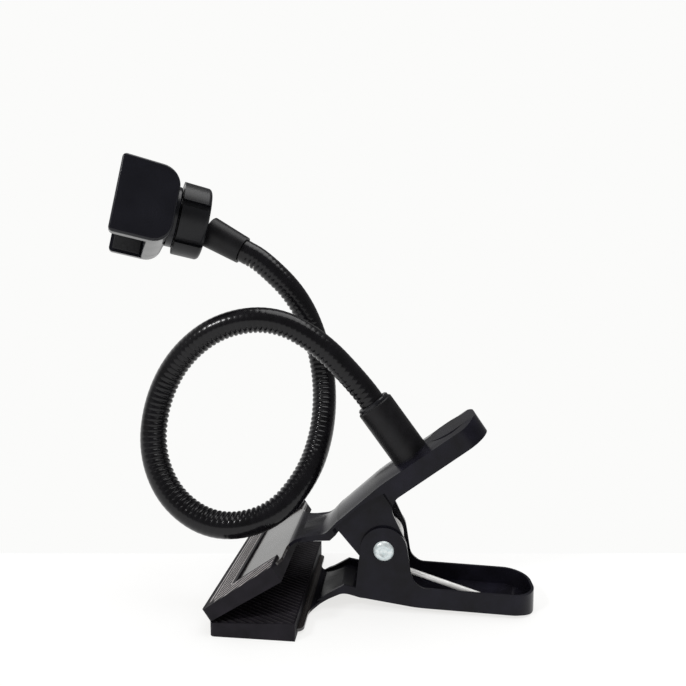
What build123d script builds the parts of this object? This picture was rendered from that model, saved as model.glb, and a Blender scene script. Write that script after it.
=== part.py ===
from build123d import *
import math
import os

# Phone gooseneck holder: a sprung two-lever clip, a flexible arm and a ball-jointed phone bracket.
# Millimetres, +Z up. The origin is in the middle of the front band of the lower jaw pad, on its
# underside. +X runs towards the levers' handles and +Y along the hinge pin. The clip lies on its
# lower jaw pad with its jaws shut.

# Rubber jaw pads
jaw_length = 35.0
jaw_tip_x = -7.0
jaw_width = 76.0
pad_tip_height = 5.6
pad_heel_height = 7.2
pad_lip = 1.0
pad_corner = 2.0
pad_outer_edge = 2.0
pad_inner_edge = 1.2
window_front = 13.6
window_side = 11.0
tip_gap = 0.2

# Cutting shapes run this far past the faces that they leave
over = 1.0

# Stamped sheet levers, drawn in the lower lever's own place
sheet = 1.2
plate_inset = 1.8
plate_half_width = 33.0
plate_end_x = 30.5
plate_front_corner = 2.0
plate_corner = 3.0
shoulder_radius = 9.0
seat_gap = 0.15
neck_start_x = 32.0
neck_top_x = 45.0
neck_top_z = 9.4
neck_bend = 9.0
hump_end_x = 53.5
hump_end_z = 9.0
hump_bend = 16.0
floor_start_x = 77.5
floor_start_z = 4.4
floor_bend = 40.0
floor_end_z = 2.8
crown_start_x = 34.4
crown_height = 1.6
crown_border = 0.6
handle_end_x = 128.0
lever_width = 26.4
lever_end_corner = 11.0
flange_height = 7.1
neck_flange_height = 3.0
grip_length = 23.0
grip_width = 18.0
grip_height = 0.35
grip_from_end = 12.8
ridge_count = 4
ridge_pitch = 4.4
ridge_height = 0.4
ridge_width = 2.4
ridge_length = 15.0

# Hinge
pin_x = 62.3
pin_z = 27.2
pin_diameter = 5.0
pin_clearance = 0.05
rivet_head_diameter = 8.8
rivet_head_height = 1.5
ear_radius = 10.2
ear_foot_left = 49.7
ear_foot_right = 75.7
ear_foot_z = 8.0
ear_fillet = 7.0
ear_gap = 0.35
joggle_run = 2.3
joggle_band = 2.0

# Torsion spring
wire_diameter = 2.4
coil_outer_diameter = 17.6
coil_turns = 5
coil_gap = 0.15
last_turn_angle = 345.0
leg_reach = 46.4
leg_seat_gap = 0.1
leg_overlap = 1.0

# Arm socket on the upper lever
socket_x = 93.9
socket_diameter = 17.0
socket_length = 28.4
socket_floor = 5.4
socket_seat_diameter = 18.0
socket_seat_thickness = 1.6
socket_bore_clearance = 0.15
socket_edge = 0.5
collar_diameter = 15.4
collar_height = 1.6
socket_screw_diameter = 5.0
socket_screw_head = 9.0
socket_screw_head_height = 2.6
washer_diameter = 12.0
washer_height = 1.0
screw_head_edge = 0.8
screw_recess_length = 0.6
screw_recess_width = 0.15
foot_gap = 0.5

# Flexible arm
arm_diameter = 11.5
skin_thickness = 0.55
skin_clearance = 0.1
core_bore = 5.5
arm_points = [
    (33.0, -1.5, 116.5),
    (12.5, -3.5, 127.5),
    (-11.0, -5.0, 124.5),
    (-30.0, -5.0, 110.5),
    (-41.0, -6.0, 90.0),
    (-42.0, -11.0, 67.0),
    (-30.5, -17.0, 47.5),
    (-9.5, -20.5, 37.0),
    (14.0, -17.0, 41.0),
    (27.5, -4.0, 55.5),
    (32.5, 11.0, 72.5),
    (32.5, 21.5, 93.0),
    (28.0, 25.5, 115.5),
    (19.0, 22.5, 137.0),
    (2.0, 21.5, 153.9),
]
arm_end = (-7.9, 21.0, 159.4)
first_bend_distance = 11.0
bend_share = 0.45

# Ferrule at the arm's head end
ferrule_length = 18.7
ferrule_small_diameter = 13.6
ferrule_large_diameter = 15.4
ferrule_engagement = 10.0
ferrule_nose_chamfer = 0.3

# Ball joint
ball_diameter = 13.0
ball_clearance = 0.05
ball_to_ferrule = 10.1
stud_diameter = 5.4
stud_engagement = 6.0
stud_edge = 0.6

# Phone bracket, drawn about the ball's centre: X towards the fixed claw, Z towards the phone
head_turn = 28.6
head_dip = -3.8
head_tilt = 12.2
bracket_width = 35.0
bracket_back_z = 9.2
bracket_split_z = 16.6
bracket_front_z = 19.0
bracket_corner = 8.6
bracket_edge = 1.0
claw_edge = 2.0
claw_rim = 1.2
claw_front_z = 35.0
fixed_claw_outer_x = 21.0
fixed_claw_inner_x = 15.0
housing_end_x = -26.0
slider_end_x = -42.0
slider_claw_inner_x = -36.5
slider_gap = 0.3
claw_pad_thickness = 1.8
claw_pad_margin = 1.6
claw_pad_corner = 1.5
claw_travel = 32.0
tongue_inset = 10.0
tongue_height = 3.2
tongue_engagement = 6.0
tongue_end_gap = 1.0
tongue_z = 12.9
slide_clearance = 0.3

# Return springs beside the tongue
return_spring_diameter = 4.2
return_spring_wire = 0.6
return_spring_gap = 1.6
return_spring_turns = 7
spring_post_diameter = 1.8
housing_post_inset = 2.0
block_post_depth = 4.0
block_pocket_depth = 7.0
spring_eye_gap = 0.15
spring_eye_overlap = 0.3

# Screws of the bracket's front plate
cover_screw_diameter = 2.2
cover_screw_length = 3.2
cover_screw_head = 3.6
cover_screw_head_height = 1.2
cover_screw_x = (8.5, -15.0)
cover_screw_margin = 2.4
screw_clearance = 0.1

# Socket collet and locking nut
collet_radius = 10.8
collet_lip_z = -1.9
collet_slot = 1.4
collet_slots = 4
collet_slot_depth = 6.0
collet_edge = 0.8
flange_radius = 14.6
flange_front_gap = 0.5
flange_thickness = 2.2
flange_edge = 0.6
nut_clearance = 0.1
nut_front_z = 6.5
nut_back_z = -6.4
nut_web = 2.6
nut_body_radius = 15.9
nut_lobe_radius = 17.6
nut_lobes = 6
nut_groove = 3.2
nut_hole_radius = 8.6
nut_dish_radius = 13.0
nut_dish_depth = 1.6
nut_edge = 2.0
nut_turn = -16.0


# Places worked out from the sizes

mid_angle = math.atan2(pin_z - pad_tip_height - tip_gap / 2, pin_x - jaw_tip_x)
mid_plane = Plane(
    origin=(pin_x, 0, pin_z),
    x_dir=(math.cos(mid_angle), 0, math.sin(mid_angle)),
    z_dir=(-math.sin(mid_angle), 0, math.cos(mid_angle)),
)
lever_half = lever_width / 2
tongue_end_x = housing_end_x + claw_travel + tongue_engagement
tongue_width = bracket_width - 2 * tongue_inset
return_spring_y = tongue_width / 2 + return_spring_gap + return_spring_diameter / 2
cover_screw_y = bracket_width / 2 - cover_screw_margin
front_seam_x = fixed_claw_inner_x - claw_pad_thickness - slide_clearance
crown_radius = ((lever_half - crown_border) ** 2 + crown_height ** 2) / (2 * crown_height)
upper_ear_face = lever_half - sheet - ear_gap
coil_radius = (coil_outer_diameter - wire_diameter) / 2
coil_pitch = wire_diameter + coil_gap


def to_upper(shape):
    """The upper lever's side of the clip is the lower one reflected in the jaws' mid plane."""
    return mirror(shape, about=mid_plane)


def upper_point(point):
    offset = Vector(*point) - Vector(pin_x, 0, pin_z)
    normal = mid_plane.z_dir
    return Vector(pin_x, 0, pin_z) + offset - normal * (2 * offset.dot(normal))


def upper_direction(direction):
    normal = mid_plane.z_dir
    return Vector(*direction) - normal * (2 * Vector(*direction).dot(normal))


def floor_z(x):
    """Height of the lever floor's outer face along the straight handle."""
    share = (x - floor_start_x) / (handle_end_x - floor_start_x)
    return floor_start_z + share * (floor_end_z - floor_start_z)


def sheet_line():
    """Side view of a lever's outer face, from the jaw to the handle's end."""
    return FilletPolyline(
        (jaw_tip_x + plate_inset, pad_lip),
        (neck_start_x, pad_lip),
        (neck_top_x, neck_top_z),
        (hump_end_x, hump_end_z),
        (floor_start_x, floor_start_z),
        (handle_end_x, floor_end_z),
        radius=[neck_bend, neck_bend, hump_bend, floor_bend],
    )


def crown_drop(y):
    """How far the crowned handle's outer face lies outside its edges, at y."""
    return crown_height - crown_radius + math.sqrt(crown_radius ** 2 - y ** 2)


def crown_line():
    """Side view of the crown's edges: they start inside the neck and join the lever's edges."""
    rise = (neck_top_z - pad_lip) / (neck_top_x - neck_start_x)
    start_z = pad_lip + (crown_start_x - neck_start_x) * rise + crown_height
    return FilletPolyline(
        (crown_start_x, start_z),
        (neck_top_x, neck_top_z),
        (hump_end_x, hump_end_z),
        (floor_start_x, floor_start_z),
        (handle_end_x, floor_end_z),
        radius=[neck_bend, hump_bend, floor_bend],
    )


def crown_section(depth):
    """Cross-section below the crown's arc, as deep as given beyond the lever's edges."""
    circle = Pos(0, crown_radius - crown_height) * Circle(crown_radius)
    return circle & Pos(0, depth / 2 - crown_height) * Rectangle(4 * crown_radius, depth + 2 * crown_height)


def side_extrude(face, half):
    return extrude(Plane.XZ * face, amount=half, both=True)


def cross_bar(x_low, x_high, width, z_low, z_high, y=0.0):
    """A rectangular block given by its ends along X, its width and its heights."""
    return Pos((x_low + x_high) / 2, y, (z_low + z_high) / 2) * Box(x_high - x_low, width, z_high - z_low)


def lever_outline(inset=0.0):
    """Plan of the lever: wide jaw plate, shoulders, straight handle with a rounded end."""
    front = jaw_tip_x + plate_inset
    points = [
        (front, -plate_half_width),
        (plate_end_x, -plate_half_width),
        (plate_end_x, -lever_half),
        (handle_end_x, -lever_half),
        (handle_end_x, lever_half),
        (plate_end_x, lever_half),
        (plate_end_x, plate_half_width),
        (front, plate_half_width),
    ]
    radii = [plate_front_corner, plate_corner, shoulder_radius, lever_end_corner]
    face = make_face(FilletPolyline(*points, radius=radii + radii[::-1], close=True))
    return offset(face, amount=-inset) if inset else face


def ear_profile():
    """Side view of an ear: straight sides running up to a round top about the pin."""
    top = Pos(pin_x, pin_z) * Circle(ear_radius)
    foot = Polyline((ear_foot_left, ear_foot_z), (ear_foot_right, ear_foot_z))
    return make_face(make_hull(top.edges() + foot.edges()))


def flange_profile():
    """Side view of the folded side wall: low along the neck, then parallel to the handle's floor."""
    end_x = handle_end_x + over
    return make_face(Polyline(
        (plate_end_x - sheet / 2, -pin_z),
        (plate_end_x - sheet / 2, pad_lip + sheet / 2),
        (neck_top_x, neck_top_z + neck_flange_height),
        (hump_end_x, floor_z(hump_end_x) + flange_height),
        (end_x, floor_z(end_x) + flange_height),
        (end_x, -pin_z),
        close=True,
    ))


def ear_and_flange_profile():
    """Ear and flange in one outline, with a round corner behind the ear."""
    face = ear_profile() + flange_profile()
    corner = face.vertices().sort_by_distance((ear_foot_right, floor_z(ear_foot_right) + flange_height))[0]
    return fillet(corner, ear_fillet)


def joggle_cut(face_y):
    """Plan of the steps that bring both side walls in to the given face over the ears."""
    side = Polyline(
        (ear_foot_left - joggle_run, 2 * lever_half - face_y),
        (ear_foot_left, face_y),
        (ear_foot_right, face_y),
        (ear_foot_right + joggle_run, 2 * lever_half - face_y),
        close=True,
    )
    cut = make_face(side)
    return cut + mirror(cut, about=Plane.XZ)


def joggled_sides():
    """Side walls of the upper lever, stepped in at the ears to pass inside the lower ones."""
    outer = lever_outline() - joggle_cut(upper_ear_face)
    inner = lever_outline(sheet) - joggle_cut(upper_ear_face - sheet)
    walls = extrude(outer - inner, amount=2 * pin_z)
    walls = walls & side_extrude(ear_and_flange_profile(), lever_half + over)
    band = lever_outline() - lever_outline(lever_half - upper_ear_face + sheet)
    low = make_face(Polyline(
        (ear_foot_left - joggle_run, -pin_z),
        (ear_foot_left - joggle_run, sheet + joggle_band + floor_z(ear_foot_left)),
        (ear_foot_right + joggle_run, sheet + joggle_band + floor_z(ear_foot_right)),
        (ear_foot_right + joggle_run, -pin_z),
        close=True,
    ))
    return walls + (side_extrude(low, lever_half + over) & extrude(band, amount=2 * pin_z))


def handle_bar(lift, plan):
    """Part of the straight crowned handle with its outer face lifted, cut out by a plan outline."""
    box = plan.bounding_box()
    slope = math.atan2(floor_end_z - floor_start_z, handle_end_x - floor_start_x)
    direction = Vector(math.cos(slope), 0, math.sin(slope))
    x = box.min.X - over
    plane = Plane(origin=(x, 0, floor_z(x) - lift), x_dir=(0, 1, 0), z_dir=direction)
    bar = extrude(plane * crown_section(0), amount=box.size.X + 2 * over)
    return bar & extrude(plan, amount=2 * pin_z)


def thumb_grip():
    """Raised oval with cross ridges on the handle's outer face."""
    middle = handle_end_x - grip_from_end
    oval = Pos(middle, 0) * Ellipse(grip_length / 2, grip_width / 2)
    grip = handle_bar(grip_height, oval)
    for index in range(ridge_count):
        x = middle + (index - (ridge_count - 1) / 2) * ridge_pitch
        ridge = Pos(x, 0) * Rot(0, 0, 90) * SlotOverall(ridge_length, ridge_width)
        grip = grip + handle_bar(grip_height + ridge_height, ridge & oval)
    return grip


def lever(joggled):
    """A folded and pressed lever: flat jaw plate, crowned handle, side walls and ears."""
    line = sheet_line()
    ribbon = make_face(Wire(line.edges()).offset_2d(sheet, side=Side.LEFT, closed=True))
    floor = side_extrude(ribbon, plate_half_width + over) & extrude(lever_outline(), amount=2 * pin_z)
    path = Plane.XZ * crown_line()
    start = Plane(origin=path @ 0, x_dir=(0, 1, 0), z_dir=path % 0)
    crown = sweep(start * crown_section(sheet / 2), path) & extrude(lever_outline(), amount=2 * pin_z)
    hollow = sweep(start * Pos(0, sheet) * crown_section(sheet), path)
    hollow = hollow & extrude(lever_outline(sheet), amount=2 * pin_z)
    inside = make_face(line + Polyline(line @ 1, (handle_end_x, 2 * pin_z), (jaw_tip_x, 2 * pin_z), line @ 0))
    over_neck = Pos(0, sheet) * inside & Rectangle(2 * neck_top_x, 4 * pin_z)
    floor = floor + crown - hollow - side_extrude(over_neck, plate_half_width + over)
    if joggled:
        sides = joggled_sides()
    else:
        wall = lever_outline() - lever_outline(sheet)
        sides = side_extrude(ear_and_flange_profile(), lever_half + over) & extrude(wall, amount=2 * pin_z)
    body = floor + (sides & side_extrude(inside, lever_half + over)) + thumb_grip()
    hole = Pos(pin_x, 0, pin_z) * Rot(90, 0, 0) * Cylinder(pin_diameter / 2 + pin_clearance, jaw_width)
    return body - hole


def jaw_pad():
    """A rubber sleeve round the jaw plate: lipped frame outside, wedge-shaped grip inside."""
    heel_x = jaw_tip_x + jaw_length
    section = make_face(Polyline(
        (jaw_tip_x, 0), (heel_x, 0), (heel_x, pad_heel_height), (jaw_tip_x, pad_tip_height),
        close=True,
    ))
    block = side_extrude(section, jaw_width / 2)
    front = block.edges().filter_by(Axis.Y).group_by(Axis.X)[0].sort_by(Axis.Z)
    block = fillet(front[0], pad_outer_edge)
    front = block.edges().filter_by(Axis.Y).group_by(Axis.X)[0].sort_by(Axis.Z)
    block = fillet(front[-1], pad_inner_edge)
    block = fillet(block.edges().filter_by(Axis.Z), pad_corner)
    pocket = cross_bar(jaw_tip_x + plate_inset - seat_gap, heel_x + over,
                       2 * (plate_half_width + seat_gap), pad_lip, pad_lip + sheet)
    window = cross_bar(jaw_tip_x + window_front, heel_x + over,
                       jaw_width - 2 * window_side, -over, pad_lip + sheet / 2)
    return block - pocket - window


def hinge_pin():
    """A rivet through all four ears, with a domed head at each end."""
    shank = Cylinder(pin_diameter / 2, lever_width)
    sagitta = rivet_head_height
    radius = rivet_head_diameter / 2
    dome = (radius ** 2 + sagitta ** 2) / (2 * sagitta)
    head = Pos(0, 0, sagitta - dome) * Sphere(dome) & Pos(0, 0, sagitta) * Box(
        2 * radius, 2 * radius, 2 * sagitta)
    head = Pos(0, 0, lever_half) * head
    rivet = shank + head + mirror(head, about=Plane.XY)
    return Pos(pin_x, 0, pin_z) * Rot(90, 0, 0) * rivet


def leg_line():
    """Start and end of the lower spring leg, tangent to the coil's underside, in side view."""
    end_x = pin_x + leg_reach
    seat_z = floor_z(end_x) - crown_drop(coil_y(0)) + sheet
    end = Vector(end_x, 0, seat_z + leg_seat_gap + wire_diameter / 2)
    reach = end - Vector(pin_x, 0, pin_z)
    slope = math.atan2(reach.Z, reach.X) + math.asin(coil_radius / reach.length)
    start = Vector(pin_x + coil_radius * math.sin(slope), 0, pin_z - coil_radius * math.cos(slope))
    return start, end, slope


def spring_leg(y):
    start, end, slope = leg_line()
    back = (start - end).normalized() * leg_overlap
    path = Line((start.X + back.X, y, start.Z + back.Z), (end.X, y, end.Z))
    profile = Plane(origin=path @ 0, z_dir=path % 0) * Circle(wire_diameter / 2)
    leg = sweep(profile, path)
    return leg + Pos(end.X, y, end.Z) * Sphere(wire_diameter / 2)


def spring_end(y):
    """A leg and the turn that it leaves, bent from one length of wire."""
    start, end, slope = leg_line()
    turn = CenterArc((pin_x, pin_z), coil_radius, math.degrees(slope) - 90, -last_turn_angle)
    path = Plane.XZ * (Line((end.X, end.Z), (start.X, start.Z)) + turn)
    profile = Plane(origin=path @ 0, z_dir=path % 0) * Circle(wire_diameter / 2)
    wire = sweep(profile, path) + Pos(end.X, 0, end.Z) * Sphere(wire_diameter / 2)
    return Pos(0, y, 0) * wire


def coil_y(index):
    """Middle of a turn along the pin; the last turn belongs to the upper lever's leg."""
    return (index - coil_turns / 2) * coil_pitch


def spring_coil():
    """The spring's turns and the leg that bears on the lower lever's floor."""
    start, end, slope = leg_line()
    first = coil_y(0)
    last = coil_y(coil_turns - 1)
    helix = Helix(coil_pitch, last - first, coil_radius)
    profile = Plane(origin=helix @ 0, z_dir=helix % 0) * Circle(wire_diameter / 2)
    coil = sweep(profile, helix, is_frenet=True)
    coil = Rot(0, -math.degrees(slope) + 90, 0) * Rot(-90, 0, 0) * coil
    return Pos(pin_x, first, pin_z) * coil + spring_leg(first)


def spring_upper_leg():
    """The last turn and the leg that bears on the upper lever's floor."""
    return to_upper(spring_end(coil_y(coil_turns)))


def socket_plane():
    """Frame of the arm socket: origin on the upper lever's outer face, Z along the socket."""
    origin = upper_point((socket_x, 0, floor_z(socket_x) - crown_height))
    slope = (floor_end_z - floor_start_z) / (handle_end_x - floor_start_x)
    axis = upper_direction(Vector(slope, 0, -1).normalized())
    return Plane(origin=origin, x_dir=(0, 1, 0), z_dir=axis)


def up(solid, bottom):
    """Puts a centred solid's lowest face at the given height."""
    return Pos(0, 0, bottom - solid.bounding_box().min.Z) * solid


def arm_socket():
    """Turned cup that holds the arm's foot."""
    cup = up(Cylinder(socket_diameter / 2, socket_length), 0)
    cup = chamfer(cup.edges().filter_by(GeomType.CIRCLE).sort_by(Axis.Z)[-1], socket_edge)
    bore = up(Cylinder(arm_diameter / 2 + socket_bore_clearance, socket_length), socket_floor)
    thread = up(Cylinder(socket_screw_diameter / 2, socket_floor + 2 * over), -over)
    return socket_plane() * (cup - bore - thread)


def mouth_collar():
    """Plastic collar round the arm at the socket's mouth."""
    ring = up(Cylinder(collar_diameter / 2, collar_height), socket_length)
    ring = chamfer(ring.edges().sort_by(Axis.Z)[-1], socket_edge)
    bore = up(Cylinder(arm_diameter / 2 + socket_bore_clearance, socket_length), socket_floor)
    return socket_plane() * (ring - bore)


def socket_washer():
    ring = up(Cylinder(washer_diameter / 2, washer_height), -socket_seat_thickness - washer_height)
    return socket_plane() * (ring - Cylinder(socket_screw_diameter / 2, socket_length))


def cross_recess(head):
    """Crossed slots for a driver, sized to a screw head and centred on its face."""
    length = screw_recess_length * head
    width = screw_recess_width * head
    return Box(length, width, 2 * width) + Box(width, length, 2 * width)


def socket_screw():
    """Screw from inside the upper lever into the socket's floor."""
    seat = -socket_seat_thickness - washer_height
    shank = up(Cylinder(socket_screw_diameter / 2, socket_floor - foot_gap - seat), seat)
    head = up(Cylinder(socket_screw_head / 2, socket_screw_head_height), seat - socket_screw_head_height)
    head = fillet(head.edges().sort_by(Axis.Z)[0], screw_head_edge)
    cross = Pos(0, 0, seat - socket_screw_head_height) * cross_recess(socket_screw_head)
    return socket_plane() * (shank + head - cross)


def upper_lever():
    """Upper lever with the flat pressed seat that the arm socket stands on."""
    seat = up(Cylinder(socket_seat_diameter / 2, socket_seat_thickness), -socket_seat_thickness)
    body = to_upper(lever(joggled=True)) + socket_plane() * seat
    return body - socket_plane() * Cylinder(socket_screw_diameter / 2, 4 * sheet)


def ferrule_axis():
    """Direction of the ferrule and the stud: the arm's last run."""
    return (Vector(*arm_end) - Vector(*arm_points[-1])).normalized()


def arm_path():
    """Centre line of the arm: straight runs joined by large tangent arcs."""
    socket = socket_plane()
    foot = socket.origin + socket.z_dir * (socket_floor + foot_gap)
    first = socket.origin + socket.z_dir * (socket_length + first_bend_distance)
    last = Vector(*arm_end) + ferrule_axis() * ferrule_engagement
    points = [foot, first] + [Vector(*point) for point in arm_points] + [last]
    radii = []
    for before, point, after in zip(points, points[1:], points[2:]):
        turn = math.radians((point - before).get_angle(after - point))
        shorter = min((point - before).length, (after - point).length)
        radii.append(bend_share * shorter / math.tan(turn / 2))
    print("arm radii", [round(radius, 1) for radius in radii])
    path = FilletPolyline(*points, radius=radii)
    print("arm length", round(path.length, 1))
    return path


def arm_tube(path, outer, inner):
    ring = Circle(outer) - Circle(inner)
    return sweep(Plane(origin=path @ 0, z_dir=path % 0) * ring, path)


def gooseneck_core(path):
    """Wound steel hose that holds its bend."""
    outer = arm_diameter / 2 - skin_thickness - skin_clearance
    return arm_tube(path, outer, core_bore / 2)


def gooseneck_skin(path):
    """Shrunk plastic skin over the hose."""
    return arm_tube(path, arm_diameter / 2, arm_diameter / 2 - skin_thickness)


def ferrule_plane():
    """Frame of the ferrule: origin at its arm end, Z towards the ball."""
    return Plane(origin=Vector(*arm_end), z_dir=ferrule_axis())


def head_ferrule():
    """Tapered sleeve that joins the arm to the ball stud."""
    sleeve = loft([
        Circle(ferrule_small_diameter / 2),
        Pos(0, 0, ferrule_length) * Circle(ferrule_large_diameter / 2),
    ])
    sleeve = chamfer(sleeve.edges().sort_by(Axis.Z)[-1], ferrule_nose_chamfer)
    bore_radius = arm_diameter / 2 + socket_bore_clearance
    arm_bore = up(Cylinder(bore_radius, ferrule_engagement + foot_gap + over), -over)
    stud_bore = Cylinder(stud_diameter / 2 + ball_clearance, 4 * ferrule_length)
    return ferrule_plane() * (sleeve - arm_bore - stud_bore)


def ball_centre():
    return Vector(*arm_end) + ferrule_axis() * (ferrule_length + ball_to_ferrule)


def ball_stud():
    """Turned steel ball on its stud."""
    frame = Plane(origin=ball_centre(), z_dir=-ferrule_axis())
    length = ball_to_ferrule + stud_engagement
    stud = up(Cylinder(stud_diameter / 2, length), 0)
    stud = chamfer(stud.edges().sort_by(Axis.Z)[-1], stud_edge)
    return frame * (Sphere(ball_diameter / 2) + stud)


def head_plane():
    """Frame of the bracket: origin at the ball, X along its length, Z towards the phone."""
    turn = math.radians(head_turn)
    dip = math.radians(head_dip)
    along = Vector(math.sin(turn) * math.cos(dip), -math.cos(turn) * math.cos(dip), -math.sin(dip))
    level = Vector(-math.cos(turn), -math.sin(turn), 0)
    upright = level.cross(along).normalized()
    tilt = math.radians(head_tilt)
    return Plane(origin=ball_centre(), x_dir=along, z_dir=level * math.cos(tilt) + upright * math.sin(tilt))


def bracket_block(x_low, x_high, z_low, z_high, edge=bracket_edge):
    """Part of the bracket's length with big round back corners and small front ones."""
    half = bracket_width / 2
    face = make_face(FilletPolyline(
        (-half, z_low), (half, z_low), (half, z_high), (-half, z_high),
        radius=[bracket_corner, bracket_corner, edge, edge],
        close=True,
    ))
    return Pos(x_low, 0, 0) * extrude(Plane.YZ * face, amount=x_high - x_low)


def collet():
    """Slotted ball cup behind the bracket, under the locking nut."""
    depth = bracket_back_z - collet_lip_z
    cup = up(Cylinder(collet_radius, depth + over), collet_lip_z)
    cup = chamfer(cup.edges().sort_by(Axis.Z)[0], collet_edge)
    cup = cup - Sphere(ball_diameter / 2 + ball_clearance)
    slot = cross_bar(-2 * collet_radius, 2 * collet_radius, collet_slot,
                     collet_lip_z - over, collet_lip_z + collet_slot_depth)
    for index in range(collet_slots // 2):
        cup = cup - Rot(0, 0, (index + 0.5) * 360 / collet_slots) * slot
    rim = up(Cylinder(flange_radius, flange_thickness + over), nut_front_z + flange_front_gap)
    rim = fillet(rim.edges().sort_by(Axis.Z)[0], flange_edge)
    return cup + (rim - Cylinder(collet_radius - over, 2 * bracket_back_z + over))


def bracket_cavity():
    """Channel for the tongue and the two springs, open at the sliding end."""
    low = tongue_z - tongue_height / 2 - slide_clearance
    high_x = tongue_end_x + tongue_end_gap
    channel = cross_bar(housing_end_x - over, high_x, tongue_width + 2 * slide_clearance,
                        low, bracket_split_z)
    for side in (-1, 1):
        radius = return_spring_diameter / 2 + slide_clearance
        channel = channel + cross_bar(housing_end_x - over, high_x, 2 * radius,
                                      tongue_z - radius, bracket_split_z, side * return_spring_y)
    return channel


def cover_screw_tip():
    return bracket_front_z - cover_screw_head_height - cover_screw_length


def cover_screw_places():
    return [(x, side * cover_screw_y) for x in cover_screw_x for side in (-1, 1)]


def bracket_housing():
    """Moulded back of the bracket with the fixed claw and the ball cup."""
    body = bracket_block(housing_end_x, fixed_claw_inner_x, bracket_back_z, bracket_front_z)
    body = body - cross_bar(housing_end_x - over, front_seam_x, 2 * bracket_width,
                            bracket_split_z, bracket_front_z + over)
    claw = bracket_block(fixed_claw_inner_x, fixed_claw_outer_x, bracket_back_z, claw_front_z, claw_edge)
    claw = fillet(claw.faces().sort_by(Axis.X)[-1].edges(), claw_rim)
    body = body + claw + collet() - bracket_cavity()
    for x, y in cover_screw_places():
        hole = up(Cylinder(cover_screw_diameter / 2, bracket_front_z), cover_screw_tip() - slide_clearance)
        body = body - Pos(x, y, 0) * hole
    post_foot = tongue_z - return_spring_diameter / 2 - 2 * slide_clearance
    for side in (-1, 1):
        post = up(Cylinder(spring_post_diameter / 2, bracket_split_z - post_foot), post_foot)
        body = body + Pos(tongue_end_x - housing_post_inset, side * return_spring_y, 0) * post
    return head_plane() * body


def bracket_front():
    """Front plate that closes the channel, held by four screws."""
    plate = bracket_block(housing_end_x, front_seam_x, bracket_back_z, bracket_front_z)
    plate = plate & cross_bar(housing_end_x - over, front_seam_x + over, 2 * bracket_width,
                              bracket_split_z, bracket_front_z + over)
    for x, y in cover_screw_places():
        top = Pos(x, y, 0)
        seat = up(Cylinder(cover_screw_head / 2 + screw_clearance, bracket_front_z),
                  bracket_front_z - cover_screw_head_height)
        plate = plate - top * seat - top * Cylinder(cover_screw_diameter / 2, 3 * bracket_front_z)
    return head_plane() * plate


def cover_screws():
    screws = []
    for x, y in cover_screw_places():
        seat = bracket_front_z - cover_screw_head_height
        shank = up(Cylinder(cover_screw_diameter / 2, cover_screw_length), cover_screw_tip())
        head = up(Cylinder(cover_screw_head / 2, cover_screw_head_height - 2 * screw_clearance), seat)
        cross = Pos(0, 0, bracket_front_z - 2 * screw_clearance) * cross_recess(cover_screw_head)
        screws.append(head_plane() * Pos(x, y, 0) * (shank + head - cross))
    return Compound(children=screws)


def claw_pad(x_low):
    """Soft foam face of a claw."""
    low = bracket_front_z + claw_pad_margin / 2
    high = claw_front_z - claw_pad_margin
    pad = cross_bar(x_low, x_low + claw_pad_thickness, bracket_width - 2 * claw_pad_margin, low, high)
    pad = fillet(pad.edges().filter_by(Axis.X), claw_pad_corner)
    return head_plane() * pad


def sliding_claw():
    """Moving end of the bracket: claw, end block and the tongue that slides in the housing."""
    block = bracket_block(slider_claw_inner_x, housing_end_x - slider_gap, bracket_back_z, bracket_front_z)
    claw = bracket_block(slider_end_x, slider_claw_inner_x, bracket_back_z, claw_front_z, claw_edge)
    claw = fillet(claw.faces().sort_by(Axis.X)[0].edges(), claw_rim)
    tongue = cross_bar(slider_claw_inner_x, tongue_end_x, tongue_width,
                       tongue_z - tongue_height / 2, tongue_z + tongue_height / 2)
    body = block + claw + tongue
    for side in (-1, 1):
        radius = return_spring_diameter / 2 + slide_clearance
        face_x = housing_end_x - slider_gap
        pocket = cross_bar(face_x - block_pocket_depth, face_x + over, 2 * radius,
                           tongue_z - radius, tongue_z + radius, side * return_spring_y)
        post = Cylinder(spring_post_diameter / 2, 2 * radius + over)
        body = body - pocket + Pos(face_x - block_post_depth, side * return_spring_y, tongue_z) * post
    return head_plane() * body


def return_spring(side):
    """Extension spring from the housing's post to the sliding block's post."""
    low = housing_end_x - slider_gap - block_post_depth
    high = tongue_end_x - housing_post_inset
    outer = return_spring_diameter / 2
    bore = spring_post_diameter / 2 + spring_eye_gap
    hook = Cylinder(outer, return_spring_wire) - Cylinder(bore, 2 * return_spring_wire)
    body_low = low + outer - spring_eye_overlap
    body_high = high - outer + spring_eye_overlap
    length = body_high - body_low
    pitch = length / return_spring_turns
    barrel = Cylinder(outer, length) - Cylinder(outer - return_spring_wire, length - 2 * return_spring_wire)
    barrel = Pos((body_low + body_high) / 2, 0, 0) * Rot(0, 90, 0) * barrel
    spring = barrel + Pos(low, 0, 0) * hook + Pos(high, 0, 0) * hook
    for index in range(1, return_spring_turns):
        groove = Torus(outer + return_spring_wire / 4, return_spring_wire / 2)
        spring = spring - Pos(body_low + index * pitch, 0, 0) * Rot(0, 90, 0) * groove
    return head_plane() * Pos(0, side * return_spring_y, tongue_z) * spring


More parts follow.
